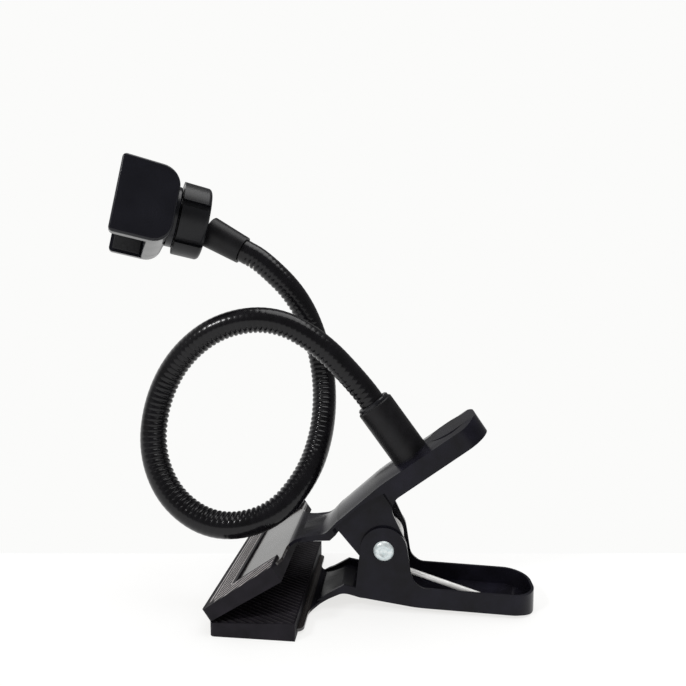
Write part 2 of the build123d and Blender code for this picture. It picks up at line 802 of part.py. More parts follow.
def locking_nut():
    """Lobed nut that screws over the collet and squeezes it on the ball."""
    depth = nut_front_z - nut_back_z
    body = up(Cylinder(nut_lobe_radius, depth), nut_back_z)
    body = fillet(body.edges().sort_by(Axis.Z)[0], nut_edge)
    for index in range(nut_lobes):
        groove = Box(nut_lobe_radius, nut_groove, 2 * depth)
        groove = Pos(nut_body_radius + nut_lobe_radius / 2, 0, 0) * groove
        body = body - Rot(0, 0, (index + 0.5) * 360 / nut_lobes) * groove
    bore = up(Cylinder(collet_radius + nut_clearance, depth), nut_back_z + nut_web)
    dish = up(Cylinder(nut_dish_radius, depth), nut_back_z + nut_dish_depth - depth)
    hole = Cylinder(nut_hole_radius, 2 * depth)
    return head_plane() * Rot(0, 0, nut_turn) * (body - bore - dish - hole)


def main():
    os.makedirs("parts", exist_ok=True)
    path = arm_path()
    parts = {
        "lower_lever": lever(joggled=False),
        "lower_jaw_pad": jaw_pad(),
        "hinge_pin": hinge_pin(),
        "spring_coil": spring_coil(),
        "spring_upper_leg": spring_upper_leg(),
        "upper_lever": upper_lever(),
        "upper_jaw_pad": to_upper(jaw_pad()),
        "arm_socket": arm_socket(),
        "mouth_collar": mouth_collar(),
        "socket_washer": socket_washer(),
        "socket_screw": socket_screw(),
        "gooseneck_core": gooseneck_core(path),
        "gooseneck_skin": gooseneck_skin(path),
        "head_ferrule": head_ferrule(),
        "ball_stud": ball_stud(),
        "locking_nut": locking_nut(),
        "bracket_housing": bracket_housing(),
        "bracket_front": bracket_front(),
        "cover_screws": cover_screws(),
        "fixed_claw_pad": claw_pad(fixed_claw_inner_x - claw_pad_thickness),
        "sliding_claw": sliding_claw(),
        "sliding_claw_pad": claw_pad(slider_claw_inner_x),
        "return_spring_near": return_spring(1),
        "return_spring_far": return_spring(-1),
    }
    for name, shape in parts.items():
        export_step(shape, f"parts/{name}.step")


main()
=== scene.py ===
import math

import bmesh
import bpy
from mathutils import Matrix, Vector


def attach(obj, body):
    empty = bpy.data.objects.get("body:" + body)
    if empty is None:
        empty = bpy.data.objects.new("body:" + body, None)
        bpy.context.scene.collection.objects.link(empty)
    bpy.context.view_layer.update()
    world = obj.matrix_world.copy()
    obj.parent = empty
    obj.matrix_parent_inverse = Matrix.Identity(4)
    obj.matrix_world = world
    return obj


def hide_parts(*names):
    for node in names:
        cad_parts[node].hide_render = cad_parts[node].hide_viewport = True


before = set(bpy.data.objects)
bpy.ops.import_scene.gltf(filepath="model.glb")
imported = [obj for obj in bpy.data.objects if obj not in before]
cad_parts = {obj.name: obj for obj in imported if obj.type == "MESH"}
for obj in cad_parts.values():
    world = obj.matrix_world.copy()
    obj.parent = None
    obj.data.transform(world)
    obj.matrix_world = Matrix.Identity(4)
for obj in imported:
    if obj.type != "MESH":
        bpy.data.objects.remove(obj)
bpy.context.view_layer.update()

MM = 0.001

# Jaw pads, as in the clip's own drawing
JAW_TIP_X = -7.0 * MM
JAW_LENGTH = 35.0 * MM
JAW_WIDTH = 76.0 * MM
PAD_TIP_HEIGHT = 5.6 * MM
PAD_HEEL_HEIGHT = 7.2 * MM
PAD_LIP = 1.0 * MM
SHEET = 1.2 * MM
WINDOW_FRONT = 13.6 * MM
WINDOW_SIDE = 11.0 * MM
PAD_CORNER = 2.0 * MM

# The two levers mirror each other in the plane through the pin between the jaws
PIN = Vector((62.3, 0.0, 27.2)) * MM
JAW_PLANE_NORMAL = Vector((-0.296313, 0.0, 0.955091))

# Control points of the arm's centre line, from the socket's floor to the ferrule
ARM_POINTS = [
    (70.71, 0.0, 70.36),
    (59.76, 0.0, 85.27),
    (50.89, 0.0, 97.36),
    (33.0, -1.5, 116.5),
    (12.5, -3.5, 127.5),
    (-11.0, -5.0, 124.5),
    (-30.0, -5.0, 110.5),
    (-41.0, -6.0, 90.0),
    (-42.0, -11.0, 67.0),
    (-30.5, -17.0, 47.5),
    (-9.5, -20.5, 37.0),
    (14.0, -17.0, 41.0),
    (27.5, -4.0, 55.5),
    (32.5, 11.0, 72.5),
    (32.5, 21.5, 93.0),
    (28.0, 25.5, 115.5),
    (19.0, 22.5, 137.0),
    (2.0, 21.5, 153.9),
    (-7.9, 21.0, 159.4),
    (-16.63, 20.56, 164.25),
]
ARM_RADIUS = 5.75 * MM
RIB_PITCH = 2.5 * MM
RIB_STEPS = 8
RIB_SIDES = 30
RIB_DEPTH_OUTSIDE = 0.045 * MM
RIB_DEPTH_INSIDE = 0.65 * MM
FULL_BEND_RADIUS = 45 * MM
BEND_REACH = 12


# Small tools

def linear(code):
    """An sRGB hex colour as linear red, green, blue and alpha."""
    parts = [int(code[i:i + 2], 16) / 255 for i in (1, 3, 5)]
    return tuple(c / 12.92 if c <= 0.04045 else ((c + 0.055) / 1.055) ** 2.4 for c in parts) + (1.0,)


def node(tree, kind, inputs=None, **settings):
    """Adds one shader node with its settings, and its inputs as values or as links."""
    made = tree.nodes.new(kind)
    for name, value in settings.items():
        setattr(made, name, value)
    for name, value in (inputs or {}).items():
        if isinstance(value, bpy.types.NodeSocket):
            tree.links.new(value, made.inputs[name])
        else:
            made.inputs[name].default_value = value
    return made


def new_material(name, **constants):
    """A material with one principled surface whose plain values are set on its own sockets."""
    made = bpy.data.materials.new(name)
    made.use_nodes = True
    made.node_tree.nodes.clear()
    surface = node(made.node_tree, "ShaderNodeBsdfPrincipled")
    for key, value in constants.items():
        surface.inputs[key.replace("_", " ")].default_value = value
    node(made.node_tree, "ShaderNodeOutputMaterial", {"Surface": surface.outputs[0]})
    return made, made.node_tree, surface


def bumped(tree, surface, height, strength, depth):
    """Fine relief on a surface, from a pattern and its depth in metres."""
    bump = node(tree, "ShaderNodeBump", {"Height": height, "Strength": strength, "Distance": depth})
    tree.links.new(bump.outputs[0], surface.inputs["Normal"])


def two_tone(tree, factor, dark, light, low=0.3, high=0.7):
    """Blends two sRGB colours by a 0 to 1 pattern."""
    ramp = node(tree, "ShaderNodeValToRGB", {"Fac": factor})
    ramp.color_ramp.elements[0].position = low
    ramp.color_ramp.elements[0].color = linear(dark)
    ramp.color_ramp.elements[1].position = high
    ramp.color_ramp.elements[1].color = linear(light)
    return ramp.outputs[0]


def spread(tree, factor, low, high):
    """Maps a 0 to 1 pattern onto a range of roughness."""
    return node(tree, "ShaderNodeMapRange", {"Value": factor, "To Min": low, "To Max": high}).outputs[0]


def grain(tree, size, detail=2.0):
    """Noise whose grains are about size metres across, on the piece's own place."""
    place = node(tree, "ShaderNodeTexCoord").outputs["Object"]
    noise = node(tree, "ShaderNodeTexNoise", {"Vector": place, "Scale": 1 / size, "Detail": detail})
    return noise.outputs["Fac"]


# Materials

def stove_enamel(name, mirror, dark="#100f12", light="#191820"):
    """Stove enamel on pressed steel: black with a faint orange peel; more mirror gives a pale sheen, and
    lighter colours passed in paint a pale reflection into it.
    """
    made, tree, surface = new_material(name, Specular_IOR_Level=mirror)
    dust = grain(tree, 9 * MM, 4)
    tree.links.new(two_tone(tree, dust, dark, light), surface.inputs["Base Color"])
    tree.links.new(spread(tree, dust, 0.16, 0.26), surface.inputs["Roughness"])
    bumped(tree, surface, grain(tree, 1.6 * MM), 0.25, 0.02 * MM)
    return made


def moulded_rubber():
    """Compression moulded rubber: violet black, with a painted sheen that turns its ridges pale when seen at
    a low angle.
    """
    made, tree, surface = new_material("moulded_rubber_black", Specular_IOR_Level=0.14)
    bloom = grain(tree, 6 * MM, 5)
    body = two_tone(tree, bloom, "#121014", "#1d1a20")
    # Painted sheen: the ridges' crests are mixed toward pale grey, most of all when seen at a low angle.
    crest = node(tree, "ShaderNodeAttribute", attribute_name="crest").outputs["Fac"]
    facing = node(tree, "ShaderNodeLayerWeight", {"Blend": 0.5}).outputs["Facing"]
    sheen = node(tree, "ShaderNodeMapRange",
                 {"Value": facing, "From Min": 0.4, "From Max": 0.7, "To Min": 0.15})
    ridge = node(tree, "ShaderNodeMath", {0: crest, 1: sheen.outputs[0]}, operation="MULTIPLY").outputs[0]
    painted_ridge_sheen = node(tree, "ShaderNodeMix", {"Factor": ridge}, data_type="RGBA")
    tree.links.new(body, painted_ridge_sheen.inputs["A"])
    painted_ridge_sheen.inputs["B"].default_value = linear("#aaa4a3")
    tree.links.new(painted_ridge_sheen.outputs["Result"], surface.inputs["Base Color"])
    tree.links.new(spread(tree, crest, 0.6, 0.35), surface.inputs["Roughness"])
    bumped(tree, surface, grain(tree, 0.35 * MM, 3), 0.35, 0.04 * MM)
    return made


def shrunk_sleeve():
    """Shrunk vinyl sleeve over the hose: wet-looking black with small glints on its ribs."""
    made, tree, surface = new_material("shrunk_vinyl_black", Specular_IOR_Level=0.3)
    smear = grain(tree, 7 * MM, 4)
    tree.links.new(two_tone(tree, smear, "#09080a", "#100f12"), surface.inputs["Base Color"])
    tree.links.new(spread(tree, smear, 0.16, 0.26), surface.inputs["Roughness"])
    bumped(tree, surface, grain(tree, 0.9 * MM, 3), 0.25, 0.03 * MM)
    return made


def satin_plastic(name, dark, light, rough_low, rough_high, mirror):
    """Injection moulded ABS with a spark eroded surface: satin black with a soft sheen."""
    made, tree, surface = new_material(name, Specular_IOR_Level=mirror)
    flow = grain(tree, 14 * MM, 3)
    tree.links.new(two_tone(tree, flow, dark, light), surface.inputs["Base Color"])
    tree.links.new(spread(tree, flow, rough_low, rough_high), surface.inputs["Roughness"])
    bumped(tree, surface, grain(tree, 0.25 * MM, 2), 0.2, 0.015 * MM)
    return made


def coated_steel():
    """Turned steel with a baked black coat: darker and duller than the levers' enamel."""
    made, tree, surface = new_material("coated_turned_steel_black", Specular_IOR_Level=0.25)
    wear = grain(tree, 5 * MM, 4)
    tree.links.new(two_tone(tree, wear, "#0b0a0c", "#131215"), surface.inputs["Base Color"])
    tree.links.new(spread(tree, wear, 0.34, 0.48), surface.inputs["Roughness"])
    bumped(tree, surface, grain(tree, 0.5 * MM, 2), 0.25, 0.02 * MM)
    return made


def plated_steel(name, dark, light, rough_low, rough_high, grain_size, metallic=1.0):
    """Plated steel: a bright metal with a faint clouding of the plating bath."""
    made, tree, surface = new_material(name, Metallic=metallic)
    cloud = grain(tree, grain_size, 4)
    tree.links.new(two_tone(tree, cloud, dark, light), surface.inputs["Base Color"])
    tree.links.new(spread(tree, cloud, rough_low, rough_high), surface.inputs["Roughness"])
    bumped(tree, surface, grain(tree, 0.3 * MM, 2), 0.15, 0.01 * MM)
    return made


def cut_foam():
    """Cut cellular foam: the deepest black, with open cells of about half a millimetre whose pits are painted
    darker as shade.
    """
    made, tree, surface = new_material("cut_foam_black")
    place = node(tree, "ShaderNodeTexCoord").outputs["Object"]
    cells = node(tree, "ShaderNodeTexVoronoi", {"Vector": place, "Scale": 1 / (0.6 * MM)}).outputs["Distance"]
    # Painted shade: the colour darkens towards each cell's pit, where the bump is lowest.
    tree.links.new(two_tone(tree, cells, "#0b0b0c", "#1a1a1c", 0.1, 0.8), surface.inputs["Base Color"])
    tree.links.new(spread(tree, cells, 0.75, 0.95), surface.inputs["Roughness"])
    bumped(tree, surface, cells, 0.8, 0.12 * MM)
    return made


ENAMEL = stove_enamel("stove_enamel_black", 0.14)
# The jaw plates' enamel is lighter: a painted reflection of the bright room at a low angle, on top of its
# stronger mirror.
PLATE_ENAMEL_PAINTED_SHEEN = stove_enamel("stove_enamel_black_painted_sheen", 1.0, "#252221", "#2d2928")
RUBBER = moulded_rubber()
SLEEVE = shrunk_sleeve()
COATED = coated_steel()
BRACKET_ABS = satin_plastic("satin_abs_black", "#0e0e14", "#14141b", 0.2, 0.3, 0.35)
NUT_ABS = satin_plastic("satin_abs_nut_black", "#0c0c0f", "#121216", 0.3, 0.42, 0.3)
COLLAR_ABS = satin_plastic("gloss_abs_collar_black", "#111114", "#19191d", 0.2, 0.3, 0.3)
RIVET_ZINC = plated_steel("bright_zinc_rivet", "#c2d0d2", "#e9edec", 0.25, 0.4, 1.2 * MM, 0.45)
WIRE_NICKEL = plated_steel("nickel_plated_wire", "#e9e8e6", "#f6f5f3", 0.3, 0.42, 3 * MM, 0.3)
SCREW_ZINC = plated_steel("zinc_plated_screw", "#a9adad", "#c9cccb", 0.28, 0.4, 1.5 * MM)
HOSE_STEEL = plated_steel("wound_hose_steel", "#8d8c89", "#a9a8a4", 0.3, 0.45, 2 * MM)
BALL_STEEL = plated_steel("polished_ball_steel", "#b9b9b8", "#d4d4d3", 0.08, 0.16, 3 * MM)
FOAM = cut_foam()

NODE_FINISH = {
    "lower_lever": ENAMEL, "upper_lever": ENAMEL, "lower_jaw_pad": RUBBER, "upper_jaw_pad": RUBBER,
    "hinge_pin": RIVET_ZINC, "spring_coil": WIRE_NICKEL, "spring_upper_leg": WIRE_NICKEL,
    "arm_socket": COATED, "mouth_collar": COLLAR_ABS, "socket_washer": SCREW_ZINC,
    "socket_screw": SCREW_ZINC, "gooseneck_core": HOSE_STEEL, "gooseneck_skin": SLEEVE,
    "head_ferrule": COATED, "ball_stud": BALL_STEEL, "locking_nut": NUT_ABS,
    "bracket_housing": BRACKET_ABS, "bracket_front": BRACKET_ABS, "cover_screws": SCREW_ZINC,
    "fixed_claw_pad": FOAM, "sliding_claw": BRACKET_ABS, "sliding_claw_pad": FOAM,
    "return_spring_near": WIRE_NICKEL, "return_spring_far": WIRE_NICKEL,
}
for name, finish in NODE_FINISH.items():
    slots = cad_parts[name].data.materials
    slots.clear()
    slots.append(finish)


# Making pieces

def piece(name, bm, finish, body, stands_for=(), sharp=40.0):
    """Turns a bmesh into a finished object that rides on its body."""
    bmesh.ops.recalc_face_normals(bm, faces=bm.faces)
    mesh = bpy.data.meshes.new(name)
    bm.to_mesh(mesh)
    bm.free()
    mesh.shade_smooth()
    mesh.set_sharp_from_angle(angle=math.radians(sharp))
    made = bpy.data.objects.new(name, mesh)
    bpy.context.scene.collection.objects.link(made)
    mesh.materials.append(finish)
    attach(made, body)
    if stands_for:
        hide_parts(*stands_for)
    return made


def to_upper():
    """Matrix that mirrors the lower jaw's side of the clip onto the upper one."""
    scale = Matrix.Scale(-1, 4, JAW_PLANE_NORMAL)
    return Matrix.Translation(PIN) @ scale @ Matrix.Translation(-PIN)


def smooth_step(value, low, high):
    """Share from 0 to 1 that eases in and out between two places."""
    share = min(max((value - low) / (high - low), 0.0), 1.0)
    return share * share * (3 - 2 * share)


# Levers with a drawn-down floor: places along the lower lever in millimetres, with the height of its
# middle line and how far the handle's floor is drawn down there

LEVER_LINE = [(28.0, 1.0), (34.0, 2.3), (45.0, 9.4), (53.5, 9.0), (77.5, 4.4), (128.0, 2.8)]
DRAWN_DOWN = [(34.0, 0.0), (44.0, 1.6), (52.0, 3.4), (62.0, 3.0), (78.0, 1.9), (128.0, 1.7)]
DRAWN_WALL = 7.0
DRAWN_FROM = 1.3
TABLE_GAP = 0.3
PLATE_END_X = 31.0 * MM
MERGE_GAP = 0.002 * MM
BEND_ANGLE = 35


def along(table, x):
    """Value of a table of places at x, straight between its points."""
    if x <= table[0][0]:
        return table[0][1]
    for (x_low, low), (x_high, high) in zip(table, table[1:]):
        if x <= x_high:
            return low + (high - low) * (x - x_low) / (x_high - x_low)
    return table[-1][1]


def pressed_lever(name, home):
    """A lever from its node's shape, merged at its seams and with the handle's floor drawn down."""
    bm = bmesh.new()
    bm.from_mesh(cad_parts[name].data)
    bmesh.ops.remove_doubles(bm, verts=bm.verts, dist=MERGE_GAP)
    back = home.inverted()
    for vertex in bm.verts:
        place = back @ vertex.co
        x = place.x / MM
        rise = place.z / MM - along(LEVER_LINE, x)
        share = 1 - min(max((rise - DRAWN_FROM) / DRAWN_WALL, 0.0), 1.0)
        drop = along(DRAWN_DOWN, x) * share
        place.z = min(place.z, max(place.z - drop * MM, TABLE_GAP * MM))
        vertex.co = home @ place
    return bm


def flat_shading(mesh, limit):
    """Corner normals weighted by area, so that a flat sheet stays flat right up to its bends."""
    steep = math.cos(math.radians(limit))
    around = {}
    for polygon in mesh.polygons:
        for index in polygon.vertices:
            around.setdefault(index, []).append(polygon)
    normals = [None] * len(mesh.loops)
    for polygon in mesh.polygons:
        for loop in polygon.loop_indices:
            total = Vector()
            for other in around[mesh.loops[loop].vertex_index]:
                if other.normal.dot(polygon.normal) > steep:
                    total += other.normal * other.area
            normals[loop] = total.normalized() if total.length else polygon.normal.copy()
    mesh.normals_split_custom_set(normals)


for lever_name, lever_home, lever_body in (
        ("lower_lever", Matrix.Identity(4), "clip_base"), ("upper_lever", to_upper(), "upper_arm")):
    lever = piece(lever_name.replace("lever", "pressing"), pressed_lever(lever_name, lever_home), ENAMEL,
                  lever_body, [lever_name], sharp=BEND_ANGLE)
    lever.data.materials.append(PLATE_ENAMEL_PAINTED_SHEEN)
    # The jaw plates take the enamel with the painted reflection.
    to_lower = lever_home.inverted()
    for polygon in lever.data.polygons:
        if (to_lower @ polygon.center).x < PLATE_END_X:
            polygon.material_index = 1
    flat_shading(lever.data, BEND_ANGLE)


# Rivet with a dimple pressed into each head: radius and height in millimetres over the ear's face,
# from the dimple's middle over the head's rim to the shank

RIVET_PROFILE = [
    (0.0, 0.75),
    (1.0, 0.8),
    (1.9, 1.2),
    (2.2, 1.45),
    (2.9, 1.3),
    (3.7, 0.85),
    (4.25, 0.35),
    (4.4, 0.0),
    (2.5, 0.0),
]
RIVET_HALF = 13.2
RIVET_SIDES = 48


def rivet():
    """One turned shape: head, shank and head, spun about the hinge's axis."""
    bm = bmesh.new()
    upper = [(r, RIVET_HALF + z) for r, z in RIVET_PROFILE]
    points = upper + [(r, -z) for r, z in reversed(upper)]
    ring = [bm.verts.new((r * MM, 0, z * MM)) for r, z in points]
    edges = [bm.edges.new(pair) for pair in zip(ring, ring[1:])]
    bmesh.ops.spin(bm, geom=ring + edges, cent=(0, 0, 0), axis=(0, 0, 1), dvec=(0, 0, 0),
                   angle=2 * math.pi, steps=RIVET_SIDES, use_merge=True)
    bmesh.ops.remove_doubles(bm, verts=bm.verts, dist=0.001 * MM)
    along_pin = Matrix.Translation(PIN) @ Matrix.Rotation(math.pi / 2, 4, "X")
    bmesh.ops.transform(bm, matrix=along_pin, verts=bm.verts)
    return bm


piece("dimpled_rivet", rivet(), RIVET_ZINC, "clip_base", ["hinge_pin"], sharp=60)


# Foam faces of the claws, in the head's own frame: along from claw to claw, forward to the phone

BALL = Vector((-33.0512, 19.7297, 173.373)) * MM
HEAD_ALONG = Vector((0.477639, -0.876053, 0.066274))
HEAD_FORWARD = Vector((-0.864859, -0.455585, 0.21086))
HEAD_ACROSS = HEAD_FORWARD.cross(HEAD_ALONG)
HEAD = Matrix.Translation(BALL) @ Matrix((HEAD_ALONG, HEAD_ACROSS, HEAD_FORWARD)).transposed().to_4x4()
FOAM_WIDTH = 31.8 * MM
FOAM_LOW = 19.8 * MM
FOAM_HIGH = 33.4 * MM
FOAM_THICK = 1.8 * MM
FOAM_EDGE = 0.5 * MM
CLAW_FOAMS = [("fixed_claw", 13.2 * MM, "bracket"), ("sliding_claw", -36.5 * MM, "slider")]


def foam_face(x_low):
    """Die-cut foam with soft rounded rims."""
    bm = bmesh.new()
    bmesh.ops.create_cube(bm, size=1.0)
    middle = Vector((x_low + FOAM_THICK / 2, 0, (FOAM_LOW + FOAM_HIGH) / 2))
    size = Vector((FOAM_THICK, FOAM_WIDTH, FOAM_HIGH - FOAM_LOW))
    for vertex in bm.verts:
        vertex.co = middle + Vector(a * b for a, b in zip(vertex.co, size))
    bmesh.ops.bevel(bm, geom=bm.verts[:] + bm.edges[:], offset=FOAM_EDGE, segments=3, profile=0.5,
                    affect="EDGES", material=-1)
    bmesh.ops.transform(bm, matrix=HEAD, verts=bm.verts)
    return bm


for claw, foam_x, foam_body in CLAW_FOAMS:
    foam = piece(claw + "_foam", foam_face(foam_x), FOAM, foam_body, [claw + "_pad"], sharp=60)


# Ribbed sleeve of the flexible arm

def arm_line():
    """Points about 0.3 mm apart along the arm's smooth centre line."""
    curve = bpy.data.curves.new("arm_route", "CURVE")
    curve.dimensions = "3D"
    curve.resolution_u = 64
    spline = curve.splines.new("NURBS")
    spline.points.add(len(ARM_POINTS) - 1)
    for place, point in zip(spline.points, ARM_POINTS):
        place.co = (*(Vector(point) * MM), 1.0)
    spline.order_u = 3
    spline.use_endpoint_u = True
    holder = bpy.data.objects.new("arm_route", curve)
    bpy.context.scene.collection.objects.link(holder)
    mesh = bpy.data.meshes.new_from_object(holder)
    raw = [vertex.co.copy() for vertex in mesh.vertices]
    bpy.data.objects.remove(holder)
    bpy.data.curves.remove(curve)
    bpy.data.meshes.remove(mesh)
    lengths = [0.0]
    for a, b in zip(raw, raw[1:]):
        lengths.append(lengths[-1] + (b - a).length)
    step = RIB_PITCH / RIB_STEPS
    count = int(lengths[-1] / step)
    line, at = [], 0
    for index in range(count + 1):
        want = index * lengths[-1] / count
        while at < len(raw) - 2 and lengths[at + 1] < want:
            at += 1
        share = (want - lengths[at]) / max(lengths[at + 1] - lengths[at], 1e-9)
        line.append(raw[at].lerp(raw[at + 1], share))
    return line


def arm_sleeve():
    """The sleeve follows the hose's windings: deep scallops inside a bend, nearly smooth outside."""
    line = arm_line()
    last = len(line) - 1
    bm = bmesh.new()
    ring = bmesh.ops.create_circle(bm, cap_ends=True, segments=RIB_SIDES, radius=ARM_RADIUS)["verts"]
    angles = [math.atan2(vertex.co.y, vertex.co.x) for vertex in ring]
    edges = bm.edges[:]
    across = (line[1] - line[0]).normalized().orthogonal().normalized()
    for index in range(last + 1):
        here = line[index]
        low = max(index - BEND_REACH, 0)
        high = min(index + BEND_REACH, last)
        ahead = (line[min(index + 1, last)] - line[max(index - 1, 0)]).normalized()
        across = (across - ahead * across.dot(ahead)).normalized()
        beside = ahead.cross(across)
        bend = (line[high] - here).normalized() - (here - line[low]).normalized()
        bend = bend / max((line[high] - line[low]).length / 2, 1e-9)
        strength = min(bend.length * FULL_BEND_RADIUS, 1.0)
        if index:
            grown = bmesh.ops.extrude_edge_only(bm, edges=edges)["geom"]
            fresh = [item for item in grown if isinstance(item, bmesh.types.BMVert)]
            order = {}
            for vertex in fresh:
                for edge in vertex.link_edges:
                    other = edge.other_vert(vertex)
                    if other in ring_index:
                        order[vertex] = ring_index[other]
            ring = sorted(fresh, key=lambda vertex: order[vertex])
            edges = [item for item in grown if isinstance(item, bmesh.types.BMEdge)]
        ring_index = {vertex: number for number, vertex in enumerate(ring)}
        for number, vertex in enumerate(ring):
            angle = angles[number]
            out = across * math.cos(angle) + beside * math.sin(angle)
            inner = out.dot(bend.normalized()) if bend.length > 1e-6 else 0.0
            inner = strength * smooth_step(inner, 0.0, 0.9)
            depth = RIB_DEPTH_OUTSIDE + (RIB_DEPTH_INSIDE - RIB_DEPTH_OUTSIDE) * inner
            phase = index / RIB_STEPS + angle / (2 * math.pi)
            valley = (0.5 + 0.5 * math.cos(2 * math.pi * phase)) ** 2
            vertex.co = here + out * (ARM_RADIUS - depth * valley)
    bmesh.ops.contextual_create(bm, geom=edges)
    return bm


piece("arm_sleeve", arm_sleeve(), SLEEVE, "upper_arm", ["gooseneck_skin"], sharp=75)


# Jaw pads

FLUTE_PITCH = 2.6 * MM
FLUTE_LEAN = math.radians(20)
GRIP_PITCH = 1.9 * MM
GRIP_LEAN = math.radians(30)
GRIP_DEPTH = 0.5 * MM
RELIEF = 0.2 * MM
FRAME_EDGE = 1.8 * MM
PLAIN_RIM = 0.7 * MM
OUTER_BEAD = 3.0 * MM
SECOND_BEAD = 5.0 * MM
WINDOW_BEAD = 2.3 * MM
BEAD_HALF = 0.5 * MM
OUTER_BEAD_HALF = 0.55 * MM
SIDE_STRIP = 0.6 * MM
FLUTES_FROM_FRONT = 5.8 * MM
FLUTES_FROM_WINDOW = 2.9 * MM
FLUTE_END = 0.2 * MM


def bead(value, middle, half):
    """A rounded bead of the given half width."""
    return max(0.0, 1 - ((value - middle) / half) ** 2) ** 0.5


def frame_relief(x, y):
    """Height from 0 to 1 of the ridges on the pad's outer frame: beads along its rims, flutes between."""
    front = x - JAW_TIP_X
    side = JAW_WIDTH / 2 - abs(y)
    lean = x * math.sin(FLUTE_LEAN) - y * math.cos(FLUTE_LEAN)
    wave = smooth_step(math.cos(2 * math.pi * lean / FLUTE_PITCH), -0.2, 0.7)
    rim_front = WINDOW_FRONT - front
    rim_side = WINDOW_SIDE - side
    rim = rim_front if side > WINDOW_SIDE else rim_side if front > WINDOW_FRONT else math.hypot(
        max(rim_front, 0), max(rim_side, 0))
    field = smooth_step(rim, FLUTES_FROM_WINDOW, FLUTES_FROM_WINDOW + FLUTE_END)
    if side > SIDE_STRIP:
        field *= smooth_step(front, FLUTES_FROM_FRONT, FLUTES_FROM_FRONT + FLUTE_END)
    height = max(field * wave, bead(rim, WINDOW_BEAD, BEAD_HALF))
    if y > -JAW_WIDTH / 2 + 4 * MM:
        height = max(height, bead(front, OUTER_BEAD, OUTER_BEAD_HALF), bead(front, SECOND_BEAD, BEAD_HALF))
    rim_height = 1 - smooth_step(min(front, side, JAW_LENGTH - front), 0.35 * MM, 0.8 * MM)
    return max(height, rim_height)


def frame_height(x, y):
    """Depth below the pad's outermost face, over the outer side of the pad."""
    if x - JAW_TIP_X > WINDOW_FRONT and JAW_WIDTH / 2 - abs(y) > WINDOW_SIDE:
        return PAD_LIP + SHEET * 0.6
    return RELIEF * (1 - frame_relief(x, y))


def grip_height(x, y):
    """Depth of the diagonal ribs on the gripping face."""
    lean = x * math.sin(GRIP_LEAN) - abs(y) * math.cos(GRIP_LEAN)
    return GRIP_DEPTH * (0.5 - 0.5 * math.cos(2 * math.pi * lean / GRIP_PITCH))


def on_frame(x, y):
    """Whether the place is on the frame itself, not in its window or at the window's lip."""
    return x - JAW_TIP_X < WINDOW_FRONT - FRAME_EDGE or JAW_WIDTH / 2 - abs(y) < WINDOW_SIDE - FRAME_EDGE


def jaw_pad(fine_x, fine_y):
    """Rubber pad: fluted frame outside, chevron ribs inside, plain walls round it."""
    bm = bmesh.new()
    # crest holds how high each ridge stands; the rubber uses it for roughness and for a painted sheen on the
    # ridges.
    crest = bm.verts.layers.float.new("crest")
    heel = JAW_TIP_X + JAW_LENGTH
    for side in (0, 1):
        made = bmesh.ops.create_grid(bm, x_segments=fine_x, y_segments=fine_y, size=1.0)["verts"]
        for vertex in made:
            x = JAW_TIP_X + (vertex.co.x + 1) / 2 * JAW_LENGTH
            y = vertex.co.y * JAW_WIDTH / 2
            edge = min(x - JAW_TIP_X, heel - x, JAW_WIDTH / 2 - abs(y))
            if side == 0:
                z = frame_height(x, y)
                if on_frame(x, y) and edge > PLAIN_RIM:
                    vertex[crest] = frame_relief(x, y) ** 2
            else:
                slope = (PAD_HEEL_HEIGHT - PAD_TIP_HEIGHT) / JAW_LENGTH
                grip = PAD_TIP_HEIGHT + (x - JAW_TIP_X) * slope
                z = grip - grip_height(x, y) * smooth_step(edge, 0.2 * MM, 0.6 * MM)
                if edge > PLAIN_RIM:
                    vertex[crest] = 0.15 * (1 - grip_height(x, y) / GRIP_DEPTH) ** 3
            vertex.co = (x, y, z)
    rims = [edge for edge in bm.edges if len(edge.link_faces) == 1]
    bmesh.ops.bridge_loops(bm, edges=rims)
    corners = [(JAW_TIP_X, -1), (JAW_TIP_X, 1)]
    for vertex in bm.verts:
        for corner_x, sign in corners:
            dx = corner_x + PAD_CORNER - vertex.co.x
            dy = sign * vertex.co.y - (JAW_WIDTH / 2 - PAD_CORNER)
            if dx > 0 and dy > 0:
                far = max(dx, dy)
                scale = far / math.hypot(dx, dy)
                vertex.co.x = corner_x + PAD_CORNER - dx * scale
                vertex.co.y = sign * (JAW_WIDTH / 2 - PAD_CORNER + dy * scale)
    return bm


fine = ((130, 300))
lower_pad = jaw_pad(*fine)
upper_pad = lower_pad.copy()
bmesh.ops.transform(upper_pad, matrix=to_upper(), verts=upper_pad.verts)
piece("lower_pad", lower_pad, RUBBER, "clip_base", ["lower_jaw_pad"], sharp=50)
piece("upper_pad", upper_pad, RUBBER, "upper_arm", ["upper_jaw_pad"], sharp=50)


# Floor, light and camera

FLOOR_LINE = 36 * MM
YAW, PITCH = -0.101, 0.076


